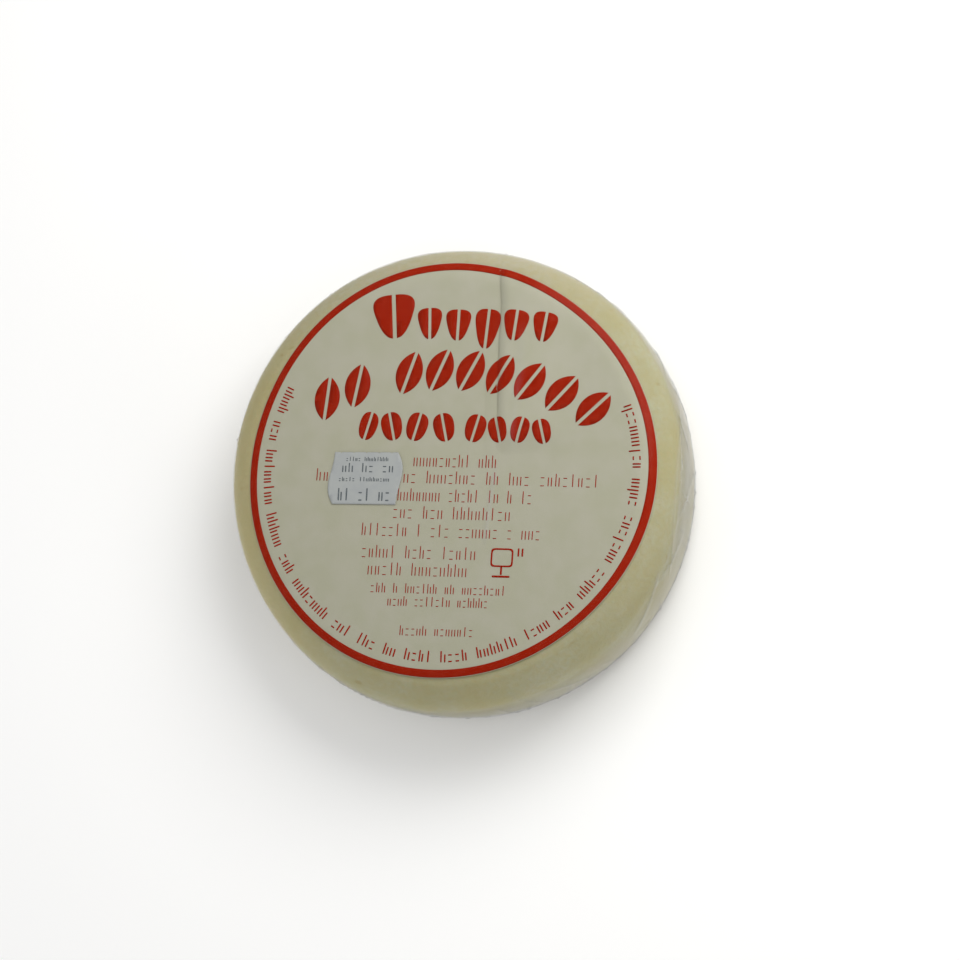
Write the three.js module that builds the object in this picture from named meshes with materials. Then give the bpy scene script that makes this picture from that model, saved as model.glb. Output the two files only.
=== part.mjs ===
// A flat round pack of pressed corn cakes, wrapped tight in clear film, with a round paper label
// under the film and a small date sticker on top of it. Millimetres, +Z up; the pack lies on its
// flat underside and the origin is the centre of that underside.
import * as THREE from "three";

// The pack: contents and the film drawn tight round them, as one solid.
const PACK_RADIUS = 70;
const PACK_HEIGHT = 37.2;
const SHOULDER_WIDTH = 12; // rounding from the top face into the side
const SHOULDER_DROP = 11;
const HEEL_WIDTH = 9; // rounding from the side into the underside
const HEEL_RISE = 8;
const SIDE_BULGE = 0.5; // the side swells a little at mid height
const FOOT_RADIUS = PACK_RADIUS - HEEL_WIDTH;
const PACK_SEGMENTS = 96;
const ARC_STEPS = 7;
const SIDE_STEPS = 3;
const TOP_RINGS = 6;

// Hand-pressed food is not a true circle: [lobes round the edge, size, angle of the first lobe].
const OUTLINE_LOBES = [
  [2, 0.4, 4.2],
  [3, 0.3, 1.4],
  [4, 0.15, 3.9],
  [5, 0.15, 3.5],
];
// The top face sinks and swells by fractions of a millimetre where the film pulls on it.
const TOP_LOBES = [
  [1, 0.25, 0.6],
  [2, 0.2, 2.2],
  [3, 0.12, 4.0],
];

// The printed label lies on the top face, and bends down a little where the shoulder begins.
const LABEL_RADIUS = 62.2;
const LABEL_THICKNESS = 0.3;
const LABEL_X = 0.9; // stuck on slightly off centre
const LABEL_Y = 1;
const LABEL_SEGMENTS = 96;
const LABEL_RINGS = 11;

// The date sticker, from a hand labeller: two straight edges, and two sides that bow out unevenly.
const STICKER_EDGE = 19.7; // length of each straight edge
const STICKER_HEIGHT = 15.7;
const STICKER_BOW = 1.65; // how far each side stands out past the corners
const STICKER_LEAN = 1.7; // over 1 moves the right side's bow up and the left side's bow down
const STICKER_THICKNESS = 0.3;
const STICKER_X = -24.5;
const STICKER_Y = -0.9;
const STICKER_TURN = -0.055; // radians
const STICKER_STEPS = 12; // along each bowed side

// Room for the film between the pieces, above and below the label.
const GAP = 0.3;

// How far the outline stands out from the true circle at an angle.
function outlineSwell(angle) {
  return OUTLINE_LOBES.reduce((sum, [lobes, size, first]) => sum + size * Math.cos(lobes * angle - first), 0);
}

// How much the outline's swell stretches the pack at a point that is this far from the axis.
function stretchAt(angle, radius) {
  const edge = Math.min(radius / PACK_RADIUS, 1);
  return 1 + (outlineSwell(angle) * edge * edge) / PACK_RADIUS;
}

// How far the top face stands above its true level at a point.
function topSwell(x, y) {
  const angle = Math.atan2(y, x);
  const reach = Math.min(Math.hypot(x, y) / PACK_RADIUS, 1);
  const lobes = TOP_LOBES.reduce((sum, [count, size, first]) => sum + size * Math.cos(count * angle - first), 0);
  return lobes * reach * reach;
}

// How far the true shoulder has dropped below the top face at a distance from the axis.
function shoulderDrop(radius) {
  const into = Math.max(radius - (PACK_RADIUS - SHOULDER_WIDTH), 0) / SHOULDER_WIDTH;
  return SHOULDER_DROP * (1 - Math.sqrt(1 - into * into));
}

// The pack's half section, from the middle of the underside to the middle of the top face.
function packProfile() {
  const points = [new THREE.Vector2(0, 0), new THREE.Vector2(FOOT_RADIUS / 2, 0)];
  for (let i = 0; i <= ARC_STEPS; i++) {
    const turn = (i / ARC_STEPS) * (Math.PI / 2);
    const radius = FOOT_RADIUS + HEEL_WIDTH * Math.sin(turn);
    points.push(new THREE.Vector2(radius, HEEL_RISE * (1 - Math.cos(turn))));
  }
  const sideHeight = PACK_HEIGHT - SHOULDER_DROP - HEEL_RISE;
  for (let i = 1; i < SIDE_STEPS; i++) {
    const share = i / SIDE_STEPS;
    const radius = PACK_RADIUS + SIDE_BULGE * Math.sin(Math.PI * share);
    points.push(new THREE.Vector2(radius, HEEL_RISE + sideHeight * share));
  }
  for (let i = 0; i <= ARC_STEPS; i++) {
    const turn = (i / ARC_STEPS) * (Math.PI / 2);
    const radius = PACK_RADIUS - SHOULDER_WIDTH * (1 - Math.cos(turn));
    const height = PACK_HEIGHT - SHOULDER_DROP * (1 - Math.sin(turn));
    points.push(new THREE.Vector2(radius, height));
  }
  for (let i = TOP_RINGS - 1; i >= 0; i--) {
    const radius = ((PACK_RADIUS - SHOULDER_WIDTH) * i) / TOP_RINGS;
    points.push(new THREE.Vector2(radius, PACK_HEIGHT));
  }
  return points;
}

// A lathed solid round the Z axis. LatheGeometry turns round Y, so the Y axis is tipped up onto Z.
function lathe(profile, segments) {
  const geometry = new THREE.LatheGeometry(profile, segments);
  geometry.rotateX(Math.PI / 2);
  return geometry;
}

// Moves each point of a geometry to the place that a function gives for it.
function reshape(geometry, place) {
  const position = geometry.getAttribute("position");
  for (let i = 0; i < position.count; i++) {
    const [x, y, z] = place(position.getX(i), position.getY(i), position.getZ(i));
    position.setXYZ(i, x, y, z);
  }
  geometry.computeVertexNormals();
  return geometry;
}

// The underside stays flat and true; the swells come in over the height of the pack.
function packGeometry() {
  return reshape(lathe(packProfile(), PACK_SEGMENTS), (x, y, z) => {
    const angle = Math.atan2(y, x);
    const radius = Math.hypot(x, y);
    const stretch = stretchAt(angle, radius);
    const upper = z / PACK_HEIGHT;
    return [x * stretch, y * stretch, z + topSwell(x, y) * upper * upper];
  });
}

// A thin plate that follows the top face, from a flat one lying with its underside at zero.
function drapeOverTop(geometry, base) {
  return reshape(geometry, (x, y, z) => {
    const radius = Math.hypot(x, y);
    const unstretched = radius / stretchAt(Math.atan2(y, x), radius);
    return [x, y, base + z + topSwell(x, y) - shoulderDrop(unstretched)];
  });
}

// The label's rings have equal areas, so they lie closer together where it bends at its edge.
function labelGeometry() {
  const radii = Array.from({ length: LABEL_RINGS }, (_, i) => LABEL_RADIUS * Math.sqrt((i + 1) / LABEL_RINGS));
  const under = [0, ...radii].map((radius) => new THREE.Vector2(radius, 0));
  const over = [0, ...radii].map((radius) => new THREE.Vector2(radius, LABEL_THICKNESS)).reverse();
  const flat = lathe([...under, ...over], LABEL_SEGMENTS);
  flat.translate(LABEL_X, LABEL_Y, 0);
  return drapeOverTop(flat, PACK_HEIGHT + GAP);
}

// The sticker's outline, anticlockwise from its lower right corner; half a turn maps it onto itself.
function stickerShape() {
  const side = Array.from({ length: STICKER_STEPS + 1 }, (_, i) => {
    const share = i / STICKER_STEPS;
    const bow = STICKER_BOW * Math.sin(Math.PI * share ** STICKER_LEAN);
    return new THREE.Vector2(STICKER_EDGE / 2 + bow, STICKER_HEIGHT * (share - 0.5));
  });
  const opposite = side.map((point) => new THREE.Vector2(-point.x, -point.y));
  return new THREE.Shape([...side, ...opposite]);
}

function stickerGeometry() {
  const flat = new THREE.ExtrudeGeometry(stickerShape(), { depth: STICKER_THICKNESS, bevelEnabled: false });
  flat.rotateZ(STICKER_TURN);
  flat.translate(STICKER_X, STICKER_Y, 0);
  return drapeOverTop(flat, PACK_HEIGHT + GAP + LABEL_THICKNESS + GAP);
}

// A finished sub-part: a named mesh with its own material.
function piece(name, geometry, color, roughness) {
  const mesh = new THREE.Mesh(geometry, new THREE.MeshStandardMaterial({ color, roughness, metalness: 0 }));
  mesh.name = name;
  return mesh;
}

const wrappedCornCakes = new THREE.Group();
wrappedCornCakes.add(piece("pack", packGeometry(), 0xe0dcb4, 0.25));
wrappedCornCakes.add(piece("label", labelGeometry(), 0xd8d6c4, 0.35));
wrappedCornCakes.add(piece("date_sticker", stickerGeometry(), 0xd6d8dc, 0.6));

export default wrappedCornCakes;
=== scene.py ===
"""A flat round pack of pressed corn cakes, wrapped tight in clear film.

A round printed label lies on the cakes under the film, and a small date sticker is stuck on top.
The pack lies on its flat underside. Sizes are in millimetres and become metres when a piece is made.
"""
import logging
import math
import random
from collections.abc import Callable, Sequence
from dataclasses import dataclass, field, replace
from enum import Enum

import bmesh
import bpy
import numpy as np
from mathutils import Matrix, Vector, noise


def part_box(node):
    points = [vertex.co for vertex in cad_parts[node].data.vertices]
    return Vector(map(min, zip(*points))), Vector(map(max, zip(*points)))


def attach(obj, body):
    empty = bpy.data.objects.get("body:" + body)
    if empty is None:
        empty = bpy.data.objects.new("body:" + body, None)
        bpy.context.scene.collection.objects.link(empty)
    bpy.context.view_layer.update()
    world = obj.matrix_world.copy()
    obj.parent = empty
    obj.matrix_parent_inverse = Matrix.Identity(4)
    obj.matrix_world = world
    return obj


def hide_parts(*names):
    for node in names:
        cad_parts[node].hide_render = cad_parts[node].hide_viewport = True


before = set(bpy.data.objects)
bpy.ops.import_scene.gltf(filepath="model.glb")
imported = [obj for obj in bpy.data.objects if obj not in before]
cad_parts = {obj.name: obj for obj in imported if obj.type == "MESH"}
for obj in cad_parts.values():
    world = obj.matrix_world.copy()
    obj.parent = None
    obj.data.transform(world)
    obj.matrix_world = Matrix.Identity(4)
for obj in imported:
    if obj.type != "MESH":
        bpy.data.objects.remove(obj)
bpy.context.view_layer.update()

Mesh = bmesh.types.BMesh
Tree = bpy.types.NodeTree
Socket = bpy.types.NodeSocket

MM = 0.001
FULL_TURN = 2 * math.pi
WEDGE_DOUBLINGS = 4
MERGE_MM = 1e-3
CUT_MM = 1e-5
INK_MM = 0.03
STROKE_MM = 0.28
# The film's painted glare along folds and pleats is kept in this layer.
GLARE_LAYER = "glare"
LOOSE_LAYER = "loose"

log = logging.getLogger("corn_cake_pack")

# ---------------------------------------------------------------------------- small tools


def linear(hex_colour: str) -> tuple[float, float, float, float]:
    """Turn an sRGB hex colour into linear light.

    Args:
        hex_colour: six hex digits, such as "E8E2C0".

    Returns:
        Red, green, blue and a full alpha, in linear light.
    """
    shares = [int(hex_colour[i : i + 2], 16) / 255 for i in (0, 2, 4)]
    low, step, offset, power = 0.04045, 12.92, 0.055, 2.4
    light = [s / step if s <= low else ((s + offset) / (1 + offset)) ** power for s in shares]
    return (light[0], light[1], light[2], 1.0)


def add_node(tree: Tree, kind: str, settings: dict | None = None, links: dict | None = None):
    """Add a node with its settings and links.

    Args:
        tree: the node tree to add to.
        kind: the node's type name.
        settings: attribute names, or input names or numbers, with their values.
        links: input names or numbers with the output socket that feeds each.

    Returns:
        The new node.
    """
    node = tree.nodes.new(kind)
    for key, value in (settings or {}).items():
        if isinstance(key, str) and hasattr(node, key):
            setattr(node, key, value)
        else:
            node.inputs[key].default_value = value
    for key, socket in (links or {}).items():
        tree.links.new(socket, node.inputs[key])
    return node


def smooth_step(share: np.ndarray) -> np.ndarray:
    """Ease from 0 to 1 as the share goes from 0 to 1, and stay flat outside."""
    held = np.clip(share, 0.0, 1.0)
    return held * held * (3 - 2 * held)


def soft_noise(x: np.ndarray, y: np.ndarray, z: np.ndarray, size: float, seed: float) -> np.ndarray:
    """Smooth noise between about -1 and 1.

    Args:
        x: first coordinates, in mm.
        y: second coordinates, in mm.
        z: third coordinates, in mm.
        size: how far apart its humps are, in mm.
        seed: shifts the pattern, so that two patterns of one size differ.

    Returns:
        One value for each point.
    """
    rows = np.stack([x, y, z], axis=1) / size + seed
    return np.array([noise.noise(Vector(row)) for row in rows])


def turn_from(angle: np.ndarray, toward: float | np.ndarray) -> np.ndarray:
    """Return how far each angle is turned from a direction, within half a turn either way."""
    return (angle - toward + math.pi) % FULL_TURN - math.pi


def turn_and_place(flat: np.ndarray, turn: float, middle: Vector) -> tuple[np.ndarray, np.ndarray]:
    """Turn flat points about their own middle, and move that to its place.

    Args:
        flat: rows of x and y from the middle, in mm.
        turn: in radians, anticlockwise.
        middle: where the middle goes, in mm.

    Returns:
        The points' x and y, in mm.
    """
    cos, sin = math.cos(turn), math.sin(turn)
    x = middle.x + flat[:, 0] * cos - flat[:, 1] * sin
    y = middle.y + flat[:, 0] * sin + flat[:, 1] * cos
    return x, y


def revolve(section: Sequence[tuple[float, float]], wedge_steps: int, closed: bool = False) -> Mesh:
    """Spin a half section round the Z axis into a closed body.

    One wedge is spun, and copies of it are turned and merged until they fill the full turn.

    Args:
        section: radius and height of each point, in mm, from the axis to the axis, or a closed loop.
        wedge_steps: how many steps make one sixteenth of a turn.
        closed: whether the section is a loop that doesn't touch the axis.

    Returns:
        The body, with its faces out.
    """
    bm = bmesh.new()
    verts = [bm.verts.new((radius, 0.0, height)) for radius, height in section]
    ends = zip(verts, verts[1:] + verts[:1]) if closed else zip(verts, verts[1:])
    edges = [bm.edges.new(pair) for pair in ends]
    turned = FULL_TURN / 2**WEDGE_DOUBLINGS
    bmesh.ops.spin(
        bm,
        geom=verts + edges,
        cent=(0, 0, 0),
        axis=(0, 0, 1),
        angle=turned,
        steps=wedge_steps,
        use_merge=False,
        use_duplicate=False,
    )
    for _ in range(WEDGE_DOUBLINGS):
        made = bmesh.ops.duplicate(bm, geom=[*bm.verts, *bm.edges, *bm.faces])
        fresh = [item for item in made["geom"] if isinstance(item, bmesh.types.BMVert)]
        bmesh.ops.rotate(bm, verts=fresh, cent=(0, 0, 0), matrix=Matrix.Rotation(turned, 3, "Z"))
        turned *= 2
    bmesh.ops.remove_doubles(bm, verts=bm.verts, dist=MERGE_MM)
    bmesh.ops.recalc_face_normals(bm, faces=bm.faces)
    return bm


def refine(bm: Mesh, wanted: Callable[[np.ndarray], np.ndarray], cuts: int) -> None:
    """Cut a body's edges finer where its shape is going to need it.

    Args:
        bm: the body, in mm.
        wanted: tells from rows of x, y and z which edges to cut, by their middles.
        cuts: how many cuts each edge gets.
    """
    middles = np.array([((edge.verts[0].co + edge.verts[1].co) / 2)[:] for edge in bm.edges])
    chosen = [edge for edge, near in zip(bm.edges, wanted(middles)) if near]
    bmesh.ops.subdivide_edges(bm, edges=chosen, cuts=cuts, use_grid_fill=True)


def points_of(bm: Mesh) -> np.ndarray:
    """Return a body's points as rows of x, y and z."""
    return np.array([vert.co[:] for vert in bm.verts])


def move_points(bm: Mesh, points: np.ndarray) -> None:
    """Move a body's points to new places."""
    for vert, place in zip(bm.verts, points):
        vert.co = place


def make_piece(name: str, bm: Mesh, finish: bpy.types.Material) -> bpy.types.Object:
    """Turn a body in mm into a named piece in metres that rides with the pack.

    Args:
        name: the piece's name.
        bm: its shape, in mm; it is freed.
        finish: its material.

    Returns:
        The piece, at the origin and unscaled.
    """
    mesh = bpy.data.meshes.new(name)
    bm.to_mesh(mesh)
    bm.free()
    mesh.transform(Matrix.Scale(MM, 4))
    mesh.polygons.foreach_set("use_smooth", [True] * len(mesh.polygons))
    mesh.materials.append(finish)
    piece = bpy.data.objects.new(name, mesh)
    bpy.context.scene.collection.objects.link(piece)
    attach(piece, "root")
    log.info("%s: %d faces", name, len(mesh.polygons))
    return piece


# ---------------------------------------------------------------------------- the form


@dataclass(frozen=True)
class Lobe:
    """One wave that runs round the pack.

    Args:
        count: how many times it rises in a full turn.
        size: its height, in mm.
        first: its phase, in radians.
    """

    count: int
    size: float
    first: float

    def rise(self, angle: np.ndarray) -> np.ndarray:
        """Return how far the wave stands up at each angle."""
        return self.size * np.cos(self.count * angle - self.first)


@dataclass
class PackForm:
    """The pack's outer form, which the cakes, the label and the film all follow."""

    shoulder_width: float = 12.0
    shoulder_drop: float = 11.0
    heel_width: float = 9.0
    heel_rise: float = 8.0
    side_bulge: float = 0.5
    outline: tuple[Lobe, ...] = (
        Lobe(2, 0.4, 4.2),
        Lobe(3, 0.3, 1.4),
        Lobe(4, 0.15, 3.9),
        Lobe(5, 0.15, 3.5),
    )
    top: tuple[Lobe, ...] = (Lobe(1, 0.25, 0.6), Lobe(2, 0.2, 2.2), Lobe(3, 0.12, 4.0))
    radius: float = field(init=False)
    height: float = field(init=False)

    def __post_init__(self) -> None:
        """Take the radius and height from the solid pack."""
        low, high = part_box("pack")
        across = (high.x - low.x + high.y - low.y) / 4 / MM
        self.radius = across - self.side_bulge
        turns = np.linspace(0, FULL_TURN, 360)
        rim = (self.radius - self.shoulder_width) / self.radius
        self.height = high.z / MM - float(self.lobes(self.top, turns).max()) * rim * rim

    def lobes(self, waves: Sequence[Lobe], angle: np.ndarray) -> np.ndarray:
        """Return the sum of some waves at each angle."""
        return sum(wave.rise(angle) for wave in waves)

    def stretch(self, angle: np.ndarray, reach: np.ndarray) -> np.ndarray:
        """Return how much the uneven outline stretches points at this reach from the axis."""
        edge = np.minimum(reach / self.radius, 1.0)
        return 1 + self.lobes(self.outline, angle) * edge * edge / self.radius

    def top_swell(self, x: np.ndarray, y: np.ndarray) -> np.ndarray:
        """Return how far the top face stands above its true level at each point."""
        reach = np.minimum(np.hypot(x, y) / self.radius, 1.0)
        return self.lobes(self.top, np.arctan2(y, x)) * reach * reach

    def top_level(self, x: np.ndarray, y: np.ndarray) -> np.ndarray:
        """Return the height of the pack's upper surface at each point."""
        angle, reach = np.arctan2(y, x), np.hypot(x, y)
        true_reach = np.minimum(reach / self.stretch(angle, reach), self.radius)
        into = np.clip(true_reach - (self.radius - self.shoulder_width), 0, None) / self.shoulder_width
        drop = self.shoulder_drop * (1 - np.sqrt(np.clip(1 - into * into, 0, 1)))
        return self.height + self.top_swell(x, y) - drop

    def make_uneven(self, points: np.ndarray) -> np.ndarray:
        """Move a true body's points out to the uneven outline and up or down to the uneven top.

        Args:
            points: rows of x, y and z, in mm.

        Returns:
            The points in their uneven places.
        """
        x, y, z = points.T
        stretch = self.stretch(np.arctan2(y, x), np.hypot(x, y))
        swell = self.top_swell(x, y) * (z / self.height) ** 2
        return np.stack([x * stretch, y * stretch, z + swell], axis=1)

    def section(self, inset: float, steps: tuple[int, int, int, int, int]) -> list[tuple[float, float]]:
        """Lay out the half section from the middle of the underside to the middle of the top.

        Args:
            inset: how far inside the outer form it lies, in mm.
            steps: steps along the underside, heel, side, shoulder and top.

        Returns:
            Radius and height of each point, in mm.
        """
        foot, heel, side, shoulder, top = steps
        reach, high = self.radius - inset, self.height - inset
        heel_wide, heel_high = self.heel_width - inset, self.heel_rise - inset
        wide, drop = self.shoulder_width - inset, self.shoulder_drop - inset
        points = [((reach - heel_wide) * i / foot, inset) for i in range(foot)]
        for i in range(heel):
            turn = i / heel * math.pi / 2
            across = reach - heel_wide * (1 - math.sin(turn))
            points.append((across, inset + heel_high * (1 - math.cos(turn))))
        for i in range(side):
            share = i / side
            rise = self.heel_rise + (self.height - self.shoulder_drop - self.heel_rise) * share
            points.append((reach + self.side_bulge * math.sin(math.pi * share), rise))
        for i in range(shoulder):
            turn = i / shoulder * math.pi / 2
            points.append((reach - wide * (1 - math.cos(turn)), high - drop * (1 - math.sin(turn))))
        points += [((reach - wide) * (1 - i / top), high) for i in range(top)]
        return [*points, (0.0, high)]


@dataclass
class SurfaceMap:
    """Tells where points of a spun body lie on it, and which way its surface faces there.

    Args:
        section: the half section that was spun, from the underside's middle to the top's.
    """

    section: Sequence[tuple[float, float]]
    middle: float = field(init=False)

    def __post_init__(self) -> None:
        """Measure the section once."""
        line = np.array(self.section)
        self.middle = float(line[:, 1].mean())
        self.bearing = np.arctan2(line[:, 1] - self.middle, line[:, 0])
        lengths = np.hypot(*np.diff(line, axis=0).T)
        self.run = np.concatenate([[0], np.cumsum(lengths)])
        slope = np.gradient(line, self.run, axis=0)
        self.out = np.stack([slope[:, 1], -slope[:, 0]], axis=1)

    def locate(self, points: np.ndarray) -> tuple[np.ndarray, np.ndarray, np.ndarray]:
        """Find points of the body on its section.

        Args:
            points: rows of x, y and z, in mm, on the spun body.

        Returns:
            The angle round the axis, the way along the surface from the top's middle, and the
            outward direction of the surface as rows of x, y and z.
        """
        reach = np.hypot(points[:, 0], points[:, 1])
        angle = np.arctan2(points[:, 1], points[:, 0])
        bearing = np.arctan2(points[:, 2] - self.middle, reach)
        along = np.interp(bearing, self.bearing, self.run)
        outward = np.interp(along, self.run, self.out[:, 0])
        upward = np.interp(along, self.run, self.out[:, 1])
        facing = np.stack([outward * np.cos(angle), outward * np.sin(angle), upward], axis=1)
        facing /= np.linalg.norm(facing, axis=1, keepdims=True)
        return angle, self.run[-1] - along, facing

    def lay_out(self, points: np.ndarray) -> tuple[np.ndarray, np.ndarray]:
        """Return where points of the body lie when its surface is laid out flat, in mm."""
        angle, way, _ = self.locate(points)
        return way * np.cos(angle), way * np.sin(angle)


@dataclass(frozen=True)
class Fold:
    """A crease that film or paper makes along a line.

    The line is laid out flat: each point lies in its true direction from the top's middle, as far
    away as the way over the surface.

    Args:
        line: the points that it passes, in mm.
        height: how far it stands up, in mm; below zero it is a groove.
        left: width of its slope on the left of the line, in mm.
        right: width of its slope on the right of the line, in mm.
        fade: how far from each end it takes to reach its height, in mm.
        glare: how much painted glare the film shows along the line, from 0 to 1: white that stands in for
            the light the fold catches.
        margin: how far past its slopes the mesh is cut finer, in mm.
    """

    line: tuple[tuple[float, float], ...]
    height: float
    left: float
    right: float
    fade: float = 8.0
    glare: float = 0.0
    margin: float = 0.6

    def across(self, x: np.ndarray, y: np.ndarray) -> tuple[np.ndarray, np.ndarray]:
        """Measure points against the line.

        Args:
            x: first coordinates, laid out flat, in mm.
            y: second coordinates, in mm.

        Returns:
            How far each point lies to the right of the line, in mm, and how much of the fold's
            height is there along the line.
        """
        best = np.full(x.shape, np.inf)
        side, way = np.zeros(x.shape), np.zeros(x.shape)
        gone = 0.0
        for (x0, y0), (x1, y1) in zip(self.line, self.line[1:]):
            length = math.hypot(x1 - x0, y1 - y0)
            ux, uy = (x1 - x0) / length, (y1 - y0) / length
            along = (x - x0) * ux + (y - y0) * uy
            held = np.clip(along, 0, length)
            away = np.hypot(x - x0 - held * ux, y - y0 - held * uy)
            nearer = away < best
            best = np.where(nearer, away, best)
            side = np.where(nearer, uy * (x - x0) - ux * (y - y0), side)
            way = np.where(nearer, gone + held, way)
            gone += length
        ends = smooth_step(way / self.fade) * smooth_step((gone - way) / self.fade)
        return np.where(side < 0, -best, best), ends

    def profile(self, away: np.ndarray) -> np.ndarray:
        """Return the share of the height at each distance to the right of the line."""
        share = np.clip(1 - np.abs(away) / np.where(away < 0, self.left, self.right), 0, 1)
        return share * share * (3 - share) / 2

    def rise(self, x: np.ndarray, y: np.ndarray) -> np.ndarray:
        """Return how far the fold stands up at each point laid out flat."""
        away, ends = self.across(x, y)
        return self.height * self.profile(away) * ends

    def glare_at(self, x: np.ndarray, y: np.ndarray) -> np.ndarray:
        """Return how much painted glare the film shows at each point laid out flat."""
        away, ends = self.across(x, y)
        return self.glare * self.profile(away) * ends

    def near(self, x: np.ndarray, y: np.ndarray) -> np.ndarray:
        """Return which points the fold reaches."""
        away, ends = self.across(x, y)
        return (away > -self.left - self.margin) & (away < self.right + self.margin) & (ends > 0)


@dataclass(frozen=True)
class Step(Fold):
    """A fold whose right side lies over its left: it rises steeply at the line and sinks slowly after it.

    Its left width is not used.

    Args:
        climb: how far to the right of the line it reaches its height, in mm.
        steepness: 1 makes an even climb; higher values make it steeper at the line.
    """

    margin: float = 0.8
    climb: float = 3.5
    steepness: float = 2.2

    def profile(self, away: np.ndarray) -> np.ndarray:
        """Return the share of the height at each distance to the right of the line."""
        steep = 1 - np.clip(1 - away / self.climb, 0, 1) ** self.steepness
        slow = 1 - smooth_step((away - self.climb) / (self.right - self.climb))
        return np.where(away <= 0, 0.0, np.where(away < self.climb, steep, slow))

    def near(self, x: np.ndarray, y: np.ndarray) -> np.ndarray:
        """Return which points lie where the fold bends most."""
        away, ends = self.across(x, y)
        return (away > -self.margin) & (away < self.climb + self.margin) & (ends > 0)


@dataclass(frozen=True)
class PressedFlat:
    """A place where the film is drawn so tight across the side that it lies flat there.

    Args:
        toward: direction of its middle from the axis, in radians.
        half_angle: half of its spread round the side, in radians.
        top_way: way over the surface from the top's middle to its sharp upper edge, in mm.
        bottom_way: the same to its lower edge, in mm.
        depth: how far it is pressed in, in mm.
        curve: how far its upper edge sinks towards its ends, as a share of its height.
        bend: how much of its height the upper edge takes to bend in.
        fade: how much of its height it takes to fade out at the bottom.
    """

    toward: float
    half_angle: float
    top_way: float
    bottom_way: float
    depth: float
    curve: float = 0.55
    bend: float = 0.18
    fade: float = 0.55

    def dent(self, angle: np.ndarray, way: np.ndarray) -> np.ndarray:
        """Return how far the surface is pressed in at each place."""
        across = np.clip(1 - (turn_from(angle, self.toward) / self.half_angle) ** 2, 0, 1)
        upper = self.top_way + (self.bottom_way - self.top_way) * self.curve * (1 - across)
        share = (way - upper) / (self.bottom_way - upper)
        down = np.clip(share / self.bend, 0, 1) * smooth_step((1 - share) / self.fade)
        return self.depth * across * down


LONG_CREASE = ((16.2, 22.7), (16.5, 37.8), (17.4, 49.6), (17.0, 57.0))
RIGHT_EDGE = ((79.0, 23.0), (72.5, 8.3), (71.0, 1.2), (69.8, -9.0), (69.6, -21.3), (75.5, -38.5))


@dataclass
class Creases:
    """Every fold and flat place of the pack: some shared by the label and the film, some the film's own.

    The slack is where the film hangs loose over a shared fold: a flat middle, then a slope.
    """

    shared: tuple[Fold, ...] = (
        Step(((15.9, 4.0), *LONG_CREASE, (17.0, 67.0)), 1.25, 0.0, 26.0, 9.0),
        Fold(((15.9, 12.0), *LONG_CREASE, (17.0, 66.0)), -0.2, 0.25, 0.7, 9.0),
        Step(((11.6, 0.0), (12.4, 20.0), (12.7, 36.0)), 0.2, 0.0, 13.0, 9.0),
    )
    # The last number of each film fold is painted glare; the two short folds at the right edge are painted
    # glints.
    film_only: tuple[Fold, ...] = (
        Fold(((24.7, 46.0), (23.4, 29.0), (20.6, 10.0), (18.6, 0.0)), 0.16, 2.0, 2.4, 12.0, 0.05),
        Fold(((16.0, 2.0), (14.6, -6.0), (13.4, -14.0), (12.0, -24.0)), 0.2, 0.9, 1.5, 5.0, 0.16),
        Fold(RIGHT_EDGE, 0.22, 1.4, 1.0, 9.0, 0.1),
        Fold(((73.0, -6.0), (79.0, -9.5), (88.0, -12.0)), 0.12, 1.1, 0.8, 5.0, 0.06),
        Fold(((76.2, 3.6), (76.0, 1.4), (75.9, -1.0)), 0.15, 0.4, 0.4, 0.9, 0.8),
        Fold(((76.8, 14.5), (76.3, 9.0), (76.1, 4.5)), 0.12, 0.4, 0.4, 3.0, 0.35),
        Fold(((-34.0, 52.0), (-39.0, 59.5), (-47.0, 68.0)), 0.2, 1.3, 0.9, 5.0, 0.04),
        Fold(((16.9, 62.0), (17.8, 74.0), (20.5, 92.0)), 0.2, 1.2, 0.8, 5.0, 0.05),
    )
    flat_place: PressedFlat = PressedFlat(math.radians(-4.5), math.radians(23), 70.5, 96.0, 0.55)
    slack_flat: float = 2.7
    slack_slope: float = 4.5
    slack_ends: float = 4.0

    def shared_rise(self, x: np.ndarray, y: np.ndarray) -> np.ndarray:
        """Return how far label and film stand up together at each point laid out flat."""
        return sum(fold.rise(x, y) for fold in self.shared)

    def film_rise(self, x: np.ndarray, y: np.ndarray) -> np.ndarray:
        """Return how far the film stands up over all its folds at each point laid out flat."""
        bridged = sum(np.maximum(fold.rise(x, y), 0) for fold in self.shared)
        return bridged + sum(fold.rise(x, y) for fold in self.film_only)

    def film_slack(self, x: np.ndarray, y: np.ndarray) -> np.ndarray:
        """Return how far the film hangs loose over the shared folds, from 0 to 1."""
        slack = np.zeros(x.shape)
        for fold in self.shared:
            away, ends = fold.across(x, y)
            beside = smooth_step(1 - (np.abs(away) - self.slack_flat) / self.slack_slope)
            slack = np.maximum(slack, beside * smooth_step(ends * self.slack_ends))
        return slack

    def glare_at(self, x: np.ndarray, y: np.ndarray) -> np.ndarray:
        """Return how much painted glare the folded film shows at each point laid out flat."""
        return sum(fold.glare_at(x, y) for fold in self.film_only)

    def near_shared(self, x: np.ndarray, y: np.ndarray) -> np.ndarray:
        """Return which points the shared folds reach."""
        return np.any([fold.near(x, y) for fold in self.shared], axis=0)

    def near_any(self, x: np.ndarray, y: np.ndarray) -> np.ndarray:
        """Return which points any fold reaches."""
        return np.any([fold.near(x, y) for fold in (*self.shared, *self.film_only)], axis=0)


# ---------------------------------------------------------------------------- finishes


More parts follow.
